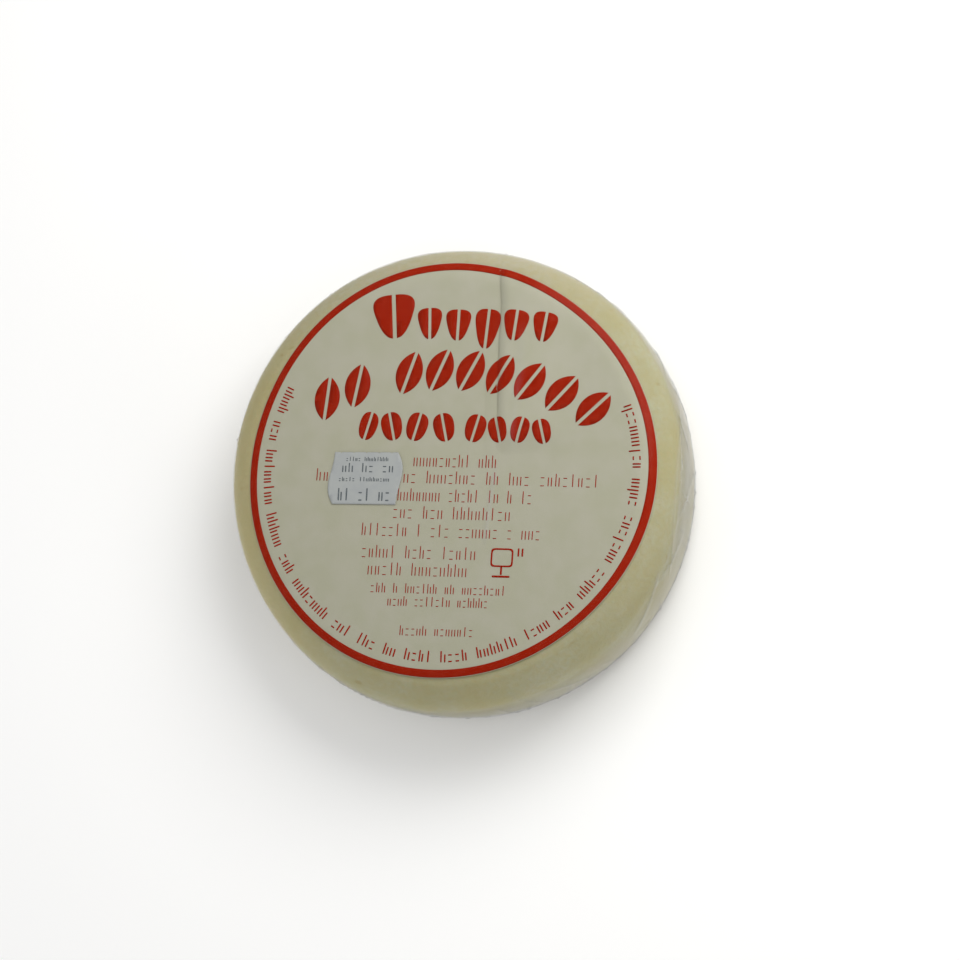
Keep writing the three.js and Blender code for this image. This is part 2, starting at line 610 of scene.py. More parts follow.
def start_material(name: str) -> tuple[bpy.types.Material, Tree, Socket, bpy.types.Node]:
    """Start a material.

    Args:
        name: what the real material is.

    Returns:
        The material, its node tree, the Object coordinates and its output node.
    """
    material = bpy.data.materials.new(name)
    material.use_nodes = True
    tree = material.node_tree
    tree.nodes.clear()
    output = add_node(tree, "ShaderNodeOutputMaterial")
    place = add_node(tree, "ShaderNodeTexCoord").outputs["Object"]
    return material, tree, place, output


def pattern(tree: Tree, place: Socket, size: float, detail: float = 2.0):
    """Add a noise whose humps are a real size apart.

    Args:
        tree: the node tree to add to.
        place: the coordinates that it follows.
        size: distance between humps, in mm.
        detail: how many finer layers it has.

    Returns:
        The socket with its value.
    """
    settings = {"Scale": 1 / (size * MM), "Detail": detail, "Roughness": 0.55}
    return add_node(tree, "ShaderNodeTexNoise", settings, {"Vector": place}).outputs["Fac"]


def spread(tree: Tree, value: Socket, low: float, high: float, to: tuple[float, float]):
    """Add a node that stretches part of a value's range over a new one.

    Args:
        tree: the node tree to add to.
        value: the socket to stretch.
        low: value that becomes the first of the new range.
        high: value that becomes the last of the new range.
        to: the new range.

    Returns:
        The socket with the stretched value.
    """
    settings = {"From Min": low, "From Max": high, "To Min": to[0], "To Max": to[1]}
    return add_node(tree, "ShaderNodeMapRange", settings, {"Value": value}).outputs["Result"]


def blend_colours(tree: Tree, share: Socket, first, second) -> Socket:
    """Add a node that mixes two colours.

    Args:
        tree: the node tree to add to.
        share: how much of the second colour shows.
        first: a linear colour, or the socket that gives one.
        second: a linear colour.

    Returns:
        The socket with the mixed colour.
    """
    node = add_node(tree, "ShaderNodeMix", {"data_type": "RGBA"}, {0: share})
    if isinstance(first, tuple):
        node.inputs[6].default_value = first
    else:
        tree.links.new(first, node.inputs[6])
    node.inputs[7].default_value = second
    return node.outputs[2]


def add_bump(tree: Tree, height: Socket, strength: float, depth: float):
    """Add a bump as deep as the real surface's grain.

    Args:
        tree: the node tree to add to.
        height: the pattern that it follows.
        strength: how much of the bump shows, from 0 to 1.
        depth: its real depth, in mm.

    Returns:
        The socket with the bumped surface direction.
    """
    settings = {"Strength": strength, "Distance": depth * MM}
    return add_node(tree, "ShaderNodeBump", settings, {"Height": height}).outputs["Normal"]


def add_surface(tree: Tree, output: bpy.types.Node, settings: dict, links: dict) -> None:
    """Add a solid surface and make it the material's own."""
    surface = add_node(tree, "ShaderNodeBsdfPrincipled", settings, links)
    tree.links.new(surface.outputs["BSDF"], output.inputs["Surface"])


@dataclass(frozen=True)
class CornDoughFinish:
    """Pressed white corn dough: fine grain, paler and yellower clouds and a few maize flecks.

    Towards -X it turns lighter and yellower, and towards +Y paler.
    """

    cream: str = "A09D7E"
    pale: str = "A6A48C"
    yellow: str = "9E966A"
    fleck: str = "8C7E4A"
    minus_x_tone: str = "ABA072"
    plus_y_tone: str = "A6A08B"
    cloud_mm: float = 9.0
    patch_mm: float = 20.7
    grain_mm: float = 1.3
    grain_depth_mm: float = 0.3
    fleck_mm: float = 4.2
    minus_x_tone_mm: tuple[float, float] = (-30.0, -62.0)
    minus_x_tone_share: float = 0.8
    plus_y_tone_mm: tuple[float, float] = (40.0, 62.0)
    plus_y_tone_share: float = 0.7

    def material(self) -> bpy.types.Material:
        """Build the dough's material.

        Returns:
            The material.
        """
        material, tree, place, output = start_material("pressed_corn_dough")
        clouds = spread(tree, pattern(tree, place, self.cloud_mm), 0.36, 0.64, (0.0, 0.7))
        patches = spread(tree, pattern(tree, place, self.patch_mm), 0.4, 0.66, (0.0, 0.6))
        grain = pattern(tree, place, self.grain_mm, 3.0)
        flecks = spread(tree, pattern(tree, place, self.fleck_mm, 1.0), 0.72, 0.78, (0.0, 0.5))
        colour = blend_colours(tree, clouds, linear(self.cream), linear(self.pale))
        colour = blend_colours(tree, patches, colour, linear(self.yellow))
        sides = add_node(tree, "ShaderNodeSeparateXYZ", {}, {"Vector": place}).outputs
        # Lighter and yellower towards -X, paler towards +Y.
        minus_x_from, minus_x_to = self.minus_x_tone_mm
        plus_y_from, plus_y_to = self.plus_y_tone_mm
        minus_x_tone = spread(tree, sides["X"], minus_x_from * MM, minus_x_to * MM, (0.0, self.minus_x_tone_share))
        plus_y_tone = spread(tree, sides["Y"], plus_y_from * MM, plus_y_to * MM, (0.0, self.plus_y_tone_share))
        colour = blend_colours(tree, minus_x_tone, colour, linear(self.minus_x_tone))
        colour = blend_colours(tree, plus_y_tone, colour, linear(self.plus_y_tone))
        colour = blend_colours(tree, flecks, colour, linear(self.fleck))
        speckle = spread(tree, grain, 0.35, 0.65, (0.45, 0.0))
        colour = blend_colours(tree, speckle, colour, linear(self.yellow))
        settings = {
            "Roughness": 0.7,
            "Specular IOR Level": 0.2,
            "Subsurface Weight": 0.1,
            "Subsurface Scale": 0.002,
        }
        bump = add_bump(tree, grain, 0.85, self.grain_depth_mm)
        add_surface(tree, output, settings, {"Base Color": colour, "Normal": bump})
        return material


@dataclass(frozen=True)
class ClearFilmFinish:
    """Blown polyolefin shrink film: clear, with a faint milky layer that is partly real cloudiness and
    partly painted sheen at a slant, and painted glare that whitens its folds and pleats.
    """

    # The milky layer's colour: at a slant it paints sheen, and along folds it paints glare.
    haze_sheen_glare: str = "B8B8BE"
    # Painted glints: the near-white that the painted glare reaches where it is strongest.
    crease: str = "F4F4F0"
    haze_share: tuple[float, float] = (0.0, 0.003)
    haze_mm: float = 16.0
    slant_from: float = 0.5
    slant_share: float = 0.08
    glint_range: tuple[float, float] = (0.15, 0.7)
    gloss_share: tuple[float, float] = (0.48, 0.85)
    gloss_roughness: float = 0.13
    tight_gloss: float = 1.15
    loose_gloss: float = 1.36
    ripple_mm: float = 5.0
    ripple_depth_mm: float = 0.12

    def material(self) -> bpy.types.Material:
        """Build the film's material.

        Returns:
            The material.
        """
        material, tree, place, output = start_material("clear_shrink_film")
        ripple = pattern(tree, place, self.ripple_mm, 2.0)
        bump = add_bump(tree, ripple, 0.35, self.ripple_depth_mm)
        cloud = spread(tree, pattern(tree, place, self.haze_mm), 0.35, 0.65, self.haze_share)
        # Painted sheen: the milky layer grows at a slant, partly as real cloudiness and partly in place of
        # the film's sheen.
        slant = add_node(tree, "ShaderNodeLayerWeight", {"Blend": 0.5}).outputs["Facing"]
        slant_haze_and_sheen = spread(tree, slant, self.slant_from, 1.0, (0.0, self.slant_share))
        # Painted glare: the glare layer whitens the film along folds and pleats, up to near-white glints.
        glare_amounts = add_node(tree, "ShaderNodeAttribute", {"attribute_name": GLARE_LAYER}).outputs["Fac"]
        haze_sheen_glare = add_node(tree, "ShaderNodeMath", {"operation": "ADD"}, {0: cloud, 1: slant_haze_and_sheen}).outputs[0]
        settings = {"operation": "ADD", "use_clamp": True}
        haze_sheen_glare = add_node(tree, "ShaderNodeMath", settings, {0: haze_sheen_glare, 1: glare_amounts})
        clear = add_node(tree, "ShaderNodeBsdfTransparent")
        creased = spread(tree, glare_amounts, *self.glint_range, (0.0, 1.0))
        haze_to_glint_colour = blend_colours(tree, creased, linear(self.haze_sheen_glare), linear(self.crease))
        haze_sheen_glare_layer = add_node(tree, "ShaderNodeBsdfDiffuse", {}, {"Color": haze_to_glint_colour})
        links = {0: haze_sheen_glare.outputs[0], 1: clear.outputs[0], 2: haze_sheen_glare_layer.outputs[0]}
        body = add_node(tree, "ShaderNodeMixShader", {}, links)
        gloss = add_node(
            tree,
            "ShaderNodeBsdfGlossy",
            {"Color": linear("FFFFFF"), "Roughness": self.gloss_roughness},
            {"Normal": bump},
        )
        tight = add_node(tree, "ShaderNodeFresnel", {"IOR": self.tight_gloss}, {"Normal": bump}).outputs[0]
        loose = add_node(tree, "ShaderNodeFresnel", {"IOR": self.loose_gloss}, {"Normal": bump}).outputs[0]
        share = add_node(tree, "ShaderNodeAttribute", {"attribute_name": LOOSE_LAYER}).outputs["Fac"]
        mirror = add_node(tree, "ShaderNodeMix", {"data_type": "FLOAT"}, {0: share, 2: tight, 3: loose})
        held = spread(tree, share, 0.0, 1.0, self.gloss_share)
        links = {0: mirror.outputs[0], 1: held}
        mirror = add_node(tree, "ShaderNodeMath", {"operation": "MULTIPLY"}, links)
        links = {0: mirror.outputs[0], 1: body.outputs[0], 2: gloss.outputs[0]}
        film = add_node(tree, "ShaderNodeMixShader", {}, links)
        tree.links.new(film.outputs[0], output.inputs["Surface"])
        return material


@dataclass(frozen=True)
class PaperFinish:
    """Coated paper: nearly even, with faint clouds where it is pressed unevenly on what is below."""

    name: str
    colour: str
    cloud: str
    cloud_mm: float = 7.0
    fibre_mm: float = 0.6
    roughness: float = 0.5
    fibre_depth_mm: float = 0.05

    def material(self) -> bpy.types.Material:
        """Build the paper's material.

        Returns:
            The material.
        """
        material, tree, place, output = start_material(self.name)
        clouds = spread(tree, pattern(tree, place, self.cloud_mm), 0.35, 0.68, (0.0, 1.0))
        colour = blend_colours(tree, clouds, linear(self.colour), linear(self.cloud))
        fibre = pattern(tree, place, self.fibre_mm, 2.0)
        bump = add_bump(tree, fibre, 0.15, self.fibre_depth_mm)
        settings = {"Roughness": self.roughness, "Specular IOR Level": 0.15}
        add_surface(tree, output, settings, {"Base Color": colour, "Normal": bump})
        return material


@dataclass(frozen=True)
class InkFinish:
    """Printing ink: a thin even coat, a little lighter where the rollers left less of it."""

    name: str
    colour: str
    thin: str
    patch_mm: float = 2.5
    roughness: float = 0.42

    def material(self) -> bpy.types.Material:
        """Build the ink's material.

        Returns:
            The material.
        """
        material, tree, place, output = start_material(self.name)
        patches = spread(tree, pattern(tree, place, self.patch_mm, 3.0), 0.42, 0.75, (0.0, 0.6))
        colour = blend_colours(tree, patches, linear(self.colour), linear(self.thin))
        settings = {"Roughness": self.roughness, "Specular IOR Level": 0.03}
        add_surface(tree, output, settings, {"Base Color": colour})
        return material


@dataclass(frozen=True)
class FloorFinish:
    """Matt white photo board: even, with the faintest tooth."""

    colour: str = "FAFAF9"
    tooth_mm: float = 1.5
    tooth_depth_mm: float = 0.05

    def material(self) -> bpy.types.Material:
        """Build the board's material.

        Returns:
            The material.
        """
        material, tree, place, output = start_material("white_photo_board")
        tooth = pattern(tree, place, self.tooth_mm)
        bump = add_bump(tree, tooth, 0.05, self.tooth_depth_mm)
        settings = {"Base Color": linear(self.colour), "Roughness": 0.9}
        add_surface(tree, output, settings, {"Normal": bump})
        return material


# ---------------------------------------------------------------------------- the cakes


@dataclass
class CornCakes:
    """The pressed cakes inside the film, one even body with soft lumps."""

    form: PackForm
    creases: Creases
    inset: float = 0.1
    foot_clearance: float = 0.8
    lump_mm: float = 11.0
    lump_depth: float = 0.2
    lump_gain: float = 0.7
    lump_seed: float = 3.7
    crumb_mm: float = 3.6
    crumb_depth: float = 0.12
    crumb_gain: float = 0.8
    crumb_seed: float = 8.1
    wedge_steps: int = 28
    section_steps: tuple[int, int, int, int, int] = (16, 12, 14, 20, 26)

    def body(self) -> Mesh:
        """Spin the cakes' body and press it into its uneven form.

        Returns:
            The body, in mm.
        """
        section = self.form.section(self.inset, self.section_steps)
        bm = revolve(section, self.wedge_steps)
        points = points_of(bm)
        angle, way, facing = SurfaceMap(section).locate(points)
        lumps = 0.5 - self.lump_gain * soft_noise(*points.T, self.lump_mm, self.lump_seed)
        crumbs = 0.5 - self.crumb_gain * soft_noise(*points.T, self.crumb_mm, self.crumb_seed)
        inward = self.lump_depth * np.clip(lumps, 0, 1) + self.crumb_depth * np.clip(crumbs, 0, 1)
        inward += self.creases.flat_place.dent(angle, way)
        lift = self.foot_clearance * np.clip(1 - points[:, 2] / self.form.heel_rise, 0, 1) ** 2
        points = self.form.make_uneven(points) - facing * inward[:, None]
        points[:, 2] += lift
        move_points(bm, points)
        return bm

    def build(self) -> bpy.types.Object:
        """Make the cakes.

        Returns:
            The piece.
        """
        piece = make_piece("corn_cakes", self.body(), CornDoughFinish().material())
        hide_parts("pack")
        return piece


# ---------------------------------------------------------------------------- the label


@dataclass(frozen=True)
class Outline:
    """A closed outline between an ellipse, a block and a leaf.

    Args:
        side_bulge: 1 makes rounded sides; lower values fill the corners, higher ones draw the tips out.
        end_bulge: the same for the head and foot.
        taper: how much narrower the foot is than the head, from 0 to 1.
    """

    side_bulge: float
    end_bulge: float
    taper: float = 0.0

    def point(self, turn: float, width: float, height: float) -> tuple[float, float]:
        """Return the outline's point at a turn from its right side, for a size in mm."""
        cos, sin = math.cos(turn), math.sin(turn)
        x = math.copysign(abs(cos) ** self.side_bulge, cos) * width / 2
        y = math.copysign(abs(sin) ** self.end_bulge, sin) * height / 2
        return x * (1 + self.taper * y / height), y


class Mark(Enum):
    """The plain shapes that stand where a label's words would be."""

    BLOCK = Outline(0.3, 0.3)
    SEED = Outline(0.85, 0.85, 0.2)
    KERNEL = Outline(0.7, 0.7, 0.8)
    LEAF = Outline(1.7, 0.95)


@dataclass(frozen=True)
class PlacedMark:
    """One shape on the label.

    Args:
        mark: which shape.
        x: its middle, in mm to the right of the label's middle.
        y: its middle, in mm above the label's middle.
        width: in mm.
        height: in mm.
        turn: in radians, anticlockwise.
        wall: width of the band that it is drawn with, in mm, or None for a solid shape.
        slit: width of the bare slit along its axis, in mm, or None.
    """

    mark: Mark
    x: float
    y: float
    width: float
    height: float
    turn: float = 0.0
    wall: float | None = None
    slit: float | None = None


@dataclass(frozen=True)
class RowPath:
    """The line that a row of small marks stands on, straight or bent round the label.

    Args:
        x: where a straight row starts, in mm.
        y: the height of its foot line, in mm.
        radius: of the circle that a bent row's foot line follows, in mm, or None for a straight row.
        start: the angle at which a bent row starts, in radians.
    """

    x: float = 0.0
    y: float = 0.0
    radius: float | None = None
    start: float = 0.0

    def spot(self, way: float) -> Matrix:
        """Return the place and turn of a mark this far along the row."""
        if self.radius is None:
            return Matrix.Translation((self.x + way, self.y, 0))
        angle = self.start + way / self.radius
        place = Matrix.Translation((self.radius * math.cos(angle), self.radius * math.sin(angle), 0))
        return place @ Matrix.Rotation(angle + math.pi / 2, 4, "Z")


@dataclass(frozen=True)
class MarkRow:
    """A row of small marks in groups, as words stand in a line of small print.

    Args:
        path: the line that it stands on.
        length: from its first mark to its last, in mm.
        height: height of its tall marks, in mm.
        groups: how many marks each group has.
        stroke: width of its strokes, in mm.
    """

    path: RowPath
    length: float
    height: float
    groups: tuple[int, ...]
    stroke: float = STROKE_MM


def straight_row(
    middle: float, y: float, length: float, height: float, groups: tuple[int, ...], stroke: float = STROKE_MM
) -> MarkRow:
    """Lay out a straight row round its middle.

    Args:
        middle: the row's middle, in mm to the right.
        y: the height of its middle, in mm.
        length: in mm.
        height: of its tall marks, in mm.
        groups: how many marks each group has.
        stroke: width of its strokes, in mm.

    Returns:
        The row.
    """
    return MarkRow(RowPath(middle - length / 2, y - height / 2), length, height, groups, stroke)


@dataclass
class InkSheet:
    """Flat printed shapes that are laid over an uneven surface.

    The shares say how often a small mark is a tall and a low stroke, two low strokes, or two
    dashes; what is left over is one tall stroke. The low share is a low stroke's height, and the
    gap stands between groups, as a share of the way from mark to mark.
    """

    thickness: float = INK_MM
    bm: Mesh = field(default_factory=bmesh.new)
    low_share: float = 0.7
    group_gap: float = 1.1
    shares: tuple[float, float, float] = (0.28, 0.34, 0.26)
    stroke_spread: tuple[float, float] = (0.2, 0.26)
    loop_points: int = 48
    stroke_points: int = 12

    def add_loop(self, mark: Mark, width: float, height: float, spot: Matrix, points: int):
        """Add a closed outline.

        Args:
            mark: its shape.
            width: in mm.
            height: in mm.
            spot: its place and turn.
            points: how many points it has.

        Returns:
            Its edges.
        """
        made = bmesh.ops.create_circle(self.bm, cap_ends=False, radius=1.0, segments=points)
        verts = made["verts"]
        for vert in verts:
            turn = math.atan2(vert.co.y, vert.co.x)
            vert.co = spot @ Vector((*mark.value.point(turn, width, height), 0))
        return list({edge for vert in verts for edge in vert.link_edges})

    def add_mark(self, placed: PlacedMark) -> None:
        """Add one of the large shapes, solid, split by a slit or as a band.

        Args:
            placed: the shape, its place and its size.
        """
        spot = Matrix.Translation((placed.x, placed.y, 0)) @ Matrix.Rotation(placed.turn, 4, "Z")
        outer = self.add_loop(placed.mark, placed.width, placed.height, spot, self.loop_points)
        if placed.wall is not None:
            width, height = placed.width - 2 * placed.wall, placed.height - 2 * placed.wall
            inner = self.add_loop(placed.mark, width, height, spot, self.loop_points)
            bmesh.ops.bridge_loops(self.bm, edges=outer + inner)
            return
        face = bmesh.ops.contextual_create(self.bm, geom=outer)["faces"][0]
        if placed.slit is not None:
            self.cut_slit(face, spot, placed.slit)

    def cut_slit(self, face: bmesh.types.BMFace, spot: Matrix, width: float) -> None:
        """Cut a bare slit along the axis of a shape.

        Args:
            face: the shape.
            spot: its place and turn.
            width: in mm.
        """
        across = spot.to_3x3() @ Vector((1, 0, 0))
        parts = [face]
        for side in (-1, 1):
            edges = {edge for part in parts for edge in part.edges}
            verts = {vert for part in parts for vert in part.verts}
            cut = bmesh.ops.bisect_plane(
                self.bm,
                geom=[*verts, *edges, *parts],
                dist=CUT_MM,
                plane_co=spot.translation + across * side * width / 2,
                plane_no=across,
            )
            parts = [item for item in cut["geom"] if isinstance(item, bmesh.types.BMFace)]
        from_axis = {part: (part.calc_center_median() - spot.translation).dot(across) for part in parts}
        bare = [part for part, off in from_axis.items() if abs(off) < width / 2]
        bmesh.ops.delete(self.bm, geom=bare, context="FACES")

    def add_stroke(self, spot: Matrix, x: float, y: float, width: float, height: float) -> None:
        """Add a small rounded stroke.

        Args:
            spot: place and turn of the mark that it belongs to.
            x: its middle, in mm to the right of the mark's middle.
            y: its foot, in mm above the row's foot line.
            width: in mm.
            height: in mm.
        """
        middle = spot @ Matrix.Translation((x, y + height / 2, 0))
        edges = self.add_loop(Mark.BLOCK, width, height, middle, self.stroke_points)
        bmesh.ops.contextual_create(self.bm, geom=edges)

    def add_row(self, row: MarkRow, draw: random.Random) -> None:
        """Add a row of small marks, each made of one or two strokes or dashes.

        Args:
            row: the row's place, size and groups.
            draw: chooses the strokes.
        """
        pitch = row.length / (sum(row.groups) + self.group_gap * (len(row.groups) - 1))
        low, thin = row.height * self.low_share, row.stroke
        tall_pairs, low_pairs, dashes = np.cumsum(self.shares)
        way = pitch / 2
        for group in row.groups:
            for _ in range(group):
                spot = row.path.spot(way)
                lean = pitch * draw.uniform(*self.stroke_spread)
                choice = draw.random()
                if choice < tall_pairs:
                    self.add_stroke(spot, -lean, 0, thin, row.height)
                    self.add_stroke(spot, lean, 0, thin, low)
                elif choice < low_pairs:
                    self.add_stroke(spot, -lean, 0, thin, low)
                    self.add_stroke(spot, lean, 0, thin, low)
                elif choice < dashes:
                    for y in (0, low - thin):
                        self.add_stroke(spot, 0, y, pitch * 0.5, thin * 0.9)
                else:
                    self.add_stroke(spot, 0, 0, thin, row.height)
                way += pitch
            way += self.group_gap * pitch

    def dice(self, cuts: dict[int, Sequence[float]]) -> None:
        """Cut every shape into small tiles, so that it can follow an uneven surface.

        Args:
            cuts: where to cut along X (0) and along Y (1), in mm.
        """
        for axis, places in cuts.items():
            across = Vector((1 - axis, axis, 0))
            for place in places:
                everything = [*self.bm.verts, *self.bm.edges, *self.bm.faces]
                spot = across * float(place)
                bmesh.ops.bisect_plane(
                    self.bm, geom=everything, dist=CUT_MM, plane_co=spot, plane_no=across
                )

    def settle(self, place: Callable[[np.ndarray], np.ndarray]) -> Mesh:
        """Give the shapes their thickness and lay them down.

        Args:
            place: moves rows of flat x, y and height above the surface to their real places.

        Returns:
            The printed shapes, as thin closed bodies in mm.
        """
        bmesh.ops.recalc_face_normals(self.bm, faces=self.bm.faces)
        made = bmesh.ops.extrude_face_region(self.bm, geom=list(self.bm.faces))
        raised = [item for item in made["geom"] if isinstance(item, bmesh.types.BMVert)]
        bmesh.ops.translate(self.bm, verts=raised, vec=(0, 0, self.thickness))
        bmesh.ops.recalc_face_normals(self.bm, faces=self.bm.faces)
        move_points(self.bm, place(points_of(self.bm)))
        return self.bm


@dataclass
class PrintedLabel:
    """The round paper label with its red ring and plain red marks."""

    form: PackForm
    creases: Creases
    thickness: float = 0.14
    top_above_pack: float = 0.28
    ink_lift: float = 0.015
    ring_radius: float = 60.9
    ring_width: float = 2.3
    ring_steps: int = 4
    print_turn: float = math.radians(-4)
    tile: float = 2.2
    fine_tile: float = 0.4
    fine_x: tuple[float, float] = (6.0, 22.0)
    print_x: tuple[float, float] = (-52.0, 54.0)
    print_y: tuple[float, float] = (5.0, 54.0)
    seed: int = 11
    waves: tuple[Lobe, ...] = (
        Lobe(1, 0.10, 4.03),
        Lobe(2, 0.10, 1.57),
        Lobe(3, 0.61, 5.71),
        Lobe(4, 0.18, 0.37),
        Lobe(7, 0.05, 3.65),
    )
    wedge_steps: int = 26
    radial_steps: int = 62
    middle: Vector = field(init=False)
    radius: float = field(init=False)

    HEADLINE = (
        PlacedMark(Mark.KERNEL, -19.8, 45.4, 11.4, 13.2, 0.1, slit=1.2),
        PlacedMark(Mark.KERNEL, -8.6, 43.4, 6.6, 9.4, 0.06, slit=0.9),
        PlacedMark(Mark.KERNEL, 0.2, 43.1, 6.8, 9.4, 0.0, slit=0.9),
        PlacedMark(Mark.KERNEL, 9.2, 42.2, 6.9, 12.0, -0.06, slit=0.9),
        PlacedMark(Mark.KERNEL, 18.2, 43.3, 6.9, 9.4, -0.1, slit=0.9),
        PlacedMark(Mark.KERNEL, 27.1, 43.1, 6.6, 9.2, -0.14, slit=0.9),
    )
    ARCH_MIDDLE_Y = -59.5
    ARCH_RADIUS = 89.0
    ARCH_LEAN_SHARE = 0.75
    ARCH_DEGREES = (-26.2, -19.6, -9.0, -2.9, 3.2, 9.3, 15.4, 22.0, 28.8)
    ARCH_LEAF = PlacedMark(Mark.LEAF, 0.0, 0.0, 8.0, 13.6, -0.42, slit=1.0)
    THIRD_LINE = (
        PlacedMark(Mark.SEED, -25.6, 12.2, 5.6, 8.6, -0.25, slit=0.8),
        PlacedMark(Mark.SEED, -18.2, 12.2, 6.4, 8.6, 0.25, slit=0.8),
        PlacedMark(Mark.SEED, -10.4, 12.2, 6.4, 8.6, -0.25, slit=0.8),
        PlacedMark(Mark.SEED, -2.0, 12.2, 6.4, 8.6, 0.25, slit=0.8),
        PlacedMark(Mark.SEED, 7.6, 12.1, 6.2, 8.4, -0.25, slit=0.8),
        PlacedMark(Mark.SEED, 14.6, 11.8, 5.8, 7.8, 0.25, slit=0.8),
        PlacedMark(Mark.SEED, 21.4, 11.8, 5.4, 7.8, -0.25, slit=0.8),
        PlacedMark(Mark.SEED, 28.0, 11.5, 5.4, 7.4, 0.25, slit=0.8),
    )
    SYMBOL = (
        PlacedMark(Mark.BLOCK, 18.4, -26.2, 6.8, 5.6, wall=0.5),
        PlacedMark(Mark.BLOCK, 18.4, -30.0, 0.6, 2.6),
        PlacedMark(Mark.BLOCK, 18.4, -31.8, 5.4, 0.6),
        PlacedMark(Mark.BLOCK, 23.3, -24.5, 0.5, 2.4),
        PlacedMark(Mark.BLOCK, 24.5, -24.5, 0.5, 2.4),
    )
    ROWS = (
        straight_row(2.0, 2.2, 26.0, 3.8, (9, 3)),
        straight_row(2.4, -2.8, 87.0, 3.8, (4, 9, 7, 2, 3, 8)),
        straight_row(5.6, -8.2, 41.6, 3.8, (7, 5, 2, 1, 2)),
        straight_row(2.0, -13.4, 36.6, 3.8, (3, 3, 8)),
        straight_row(2.1, -18.8, 55.2, 3.8, (7, 1, 3, 6, 1, 3)),
        straight_row(-7.2, -25.3, 35.6, 3.8, (5, 4, 5)),
        straight_row(-7.2, -30.4, 31.0, 3.8, (5, 8)),
        straight_row(-0.5, -36.0, 41.6, 2.9, (3, 1, 6, 2, 8), 0.27),
        straight_row(-0.3, -39.8, 31.0, 2.9, (4, 7, 6), 0.27),
        straight_row(-0.1, -48.4, 22.8, 2.9, (5, 7), 0.27),
        MarkRow(
            RowPath(radius=57.6, start=math.radians(155)),
            227.0,
            3.4,
            (4, 3, 8, 5, 3, 7, 3, 3, 2, 4, 4, 6, 4, 3, 5, 7, 4, 9),
            0.46,
        ),
    )

    def __post_init__(self) -> None:
        """Take the label's middle and radius from its solid."""
        low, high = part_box("label")
        self.middle = (low + high) / 2 / MM
        self.radius = (high.x - low.x + high.y - low.y) / 4 / MM

    def surface(self, x: np.ndarray, y: np.ndarray) -> np.ndarray:
        """Return the height of the label's upper side at each point, in mm."""
        return self.form.top_level(x, y) + self.top_above_pack + self.creases.shared_rise(x, y)

    def pull(self, points: np.ndarray) -> np.ndarray:
        """Pull flat points of the label out and in, as the tight film has pulled its edge out of round.

        Args:
            points: rows of x, y and height, in mm.

        Returns:
            The points in their pulled places.
        """
        x, y = points[:, 0] - self.middle.x, points[:, 1] - self.middle.y
        angle, reach = np.arctan2(y, x), np.hypot(x, y) / self.radius
        out = self.form.lobes(self.waves, angle) * reach**3
        return points + np.stack([out * np.cos(angle), out * np.sin(angle), np.zeros(len(x))], axis=1)

    def paper(self) -> Mesh:
        """Spin the paper disc and lay it over the cakes.

        Returns:
            The disc, in mm.
        """
        radii = [self.radius * i / self.radial_steps for i in range(self.radial_steps + 1)]
        under = [(radius, -self.thickness) for radius in radii]
        over = [(radius, 0.0) for radius in reversed(radii)]
        bm = revolve([*under, *over], self.wedge_steps)
        bmesh.ops.translate(bm, verts=bm.verts, vec=(self.middle.x, self.middle.y, 0))
        refine(bm, lambda spots: self.creases.near_shared(spots[:, 0], spots[:, 1]), 2)
        points = self.pull(points_of(bm))
        points[:, 2] += self.surface(points[:, 0], points[:, 1])
        move_points(bm, points)
        return bm

    def lay_print(self, flat: np.ndarray) -> np.ndarray:
        """Turn flat printed points to the label's own angle and lay them on the paper.

        Args:
            flat: rows of x and y from the label's middle, and height above the paper, in mm.

        Returns:
            The points in place, in mm.
        """
        x, y = turn_and_place(flat, self.print_turn, self.middle)
        points = self.pull(np.stack([x, y, flat[:, 2]], axis=1))
        points[:, 2] += self.surface(points[:, 0], points[:, 1]) + self.ink_lift
        return points

    def ring(self) -> Mesh:
        """Spin the printed ring.

        Returns:
            The ring, in mm.
        """
        half, steps = self.ring_width / 2, self.ring_steps
        radii = [self.ring_radius + half * (2 * i / steps - 1) for i in range(steps + 1)]
        under = [(radius, 0.0) for radius in radii]
        over = [(radius, INK_MM) for radius in reversed(radii)]
        bm = revolve([*under, *over], 2 * self.wedge_steps, closed=True)
        move_points(bm, self.lay_print(points_of(bm)))
        return bm

    def large_marks(self) -> Mesh:
        """Print the headline, the arch and the third line.

        Returns:
            The marks, in mm.
        """
        sheet = InkSheet()
        for placed in (*self.HEADLINE, *self.THIRD_LINE):
            sheet.add_mark(placed)
        for degrees in self.ARCH_DEGREES:
            lean = math.radians(degrees)
            x = self.ARCH_RADIUS * math.sin(lean)
            y = self.ARCH_MIDDLE_Y + self.ARCH_RADIUS * math.cos(lean)
            turn = self.ARCH_LEAF.turn - lean * self.ARCH_LEAN_SHARE
            sheet.add_mark(replace(self.ARCH_LEAF, x=x, y=y, turn=turn))
        before = np.arange(self.print_x[0], self.fine_x[0], self.tile)
        along_crease = np.arange(*self.fine_x, self.fine_tile)
        after = np.arange(self.fine_x[1], self.print_x[1], self.tile)
        sheet.dice({0: [*before, *along_crease, *after], 1: np.arange(*self.print_y, self.tile)})
        return sheet.settle(self.lay_print)

    def small_marks(self) -> Mesh:
        """Print the rows of small marks, the marks round the rim and the plain symbol.

        Returns:
            The marks, in mm.
        """
        draw = random.Random(self.seed)
        sheet = InkSheet()
        for row in self.ROWS:
            sheet.add_row(row, draw)
        for placed in self.SYMBOL:
            sheet.add_mark(placed)
        return sheet.settle(self.lay_print)

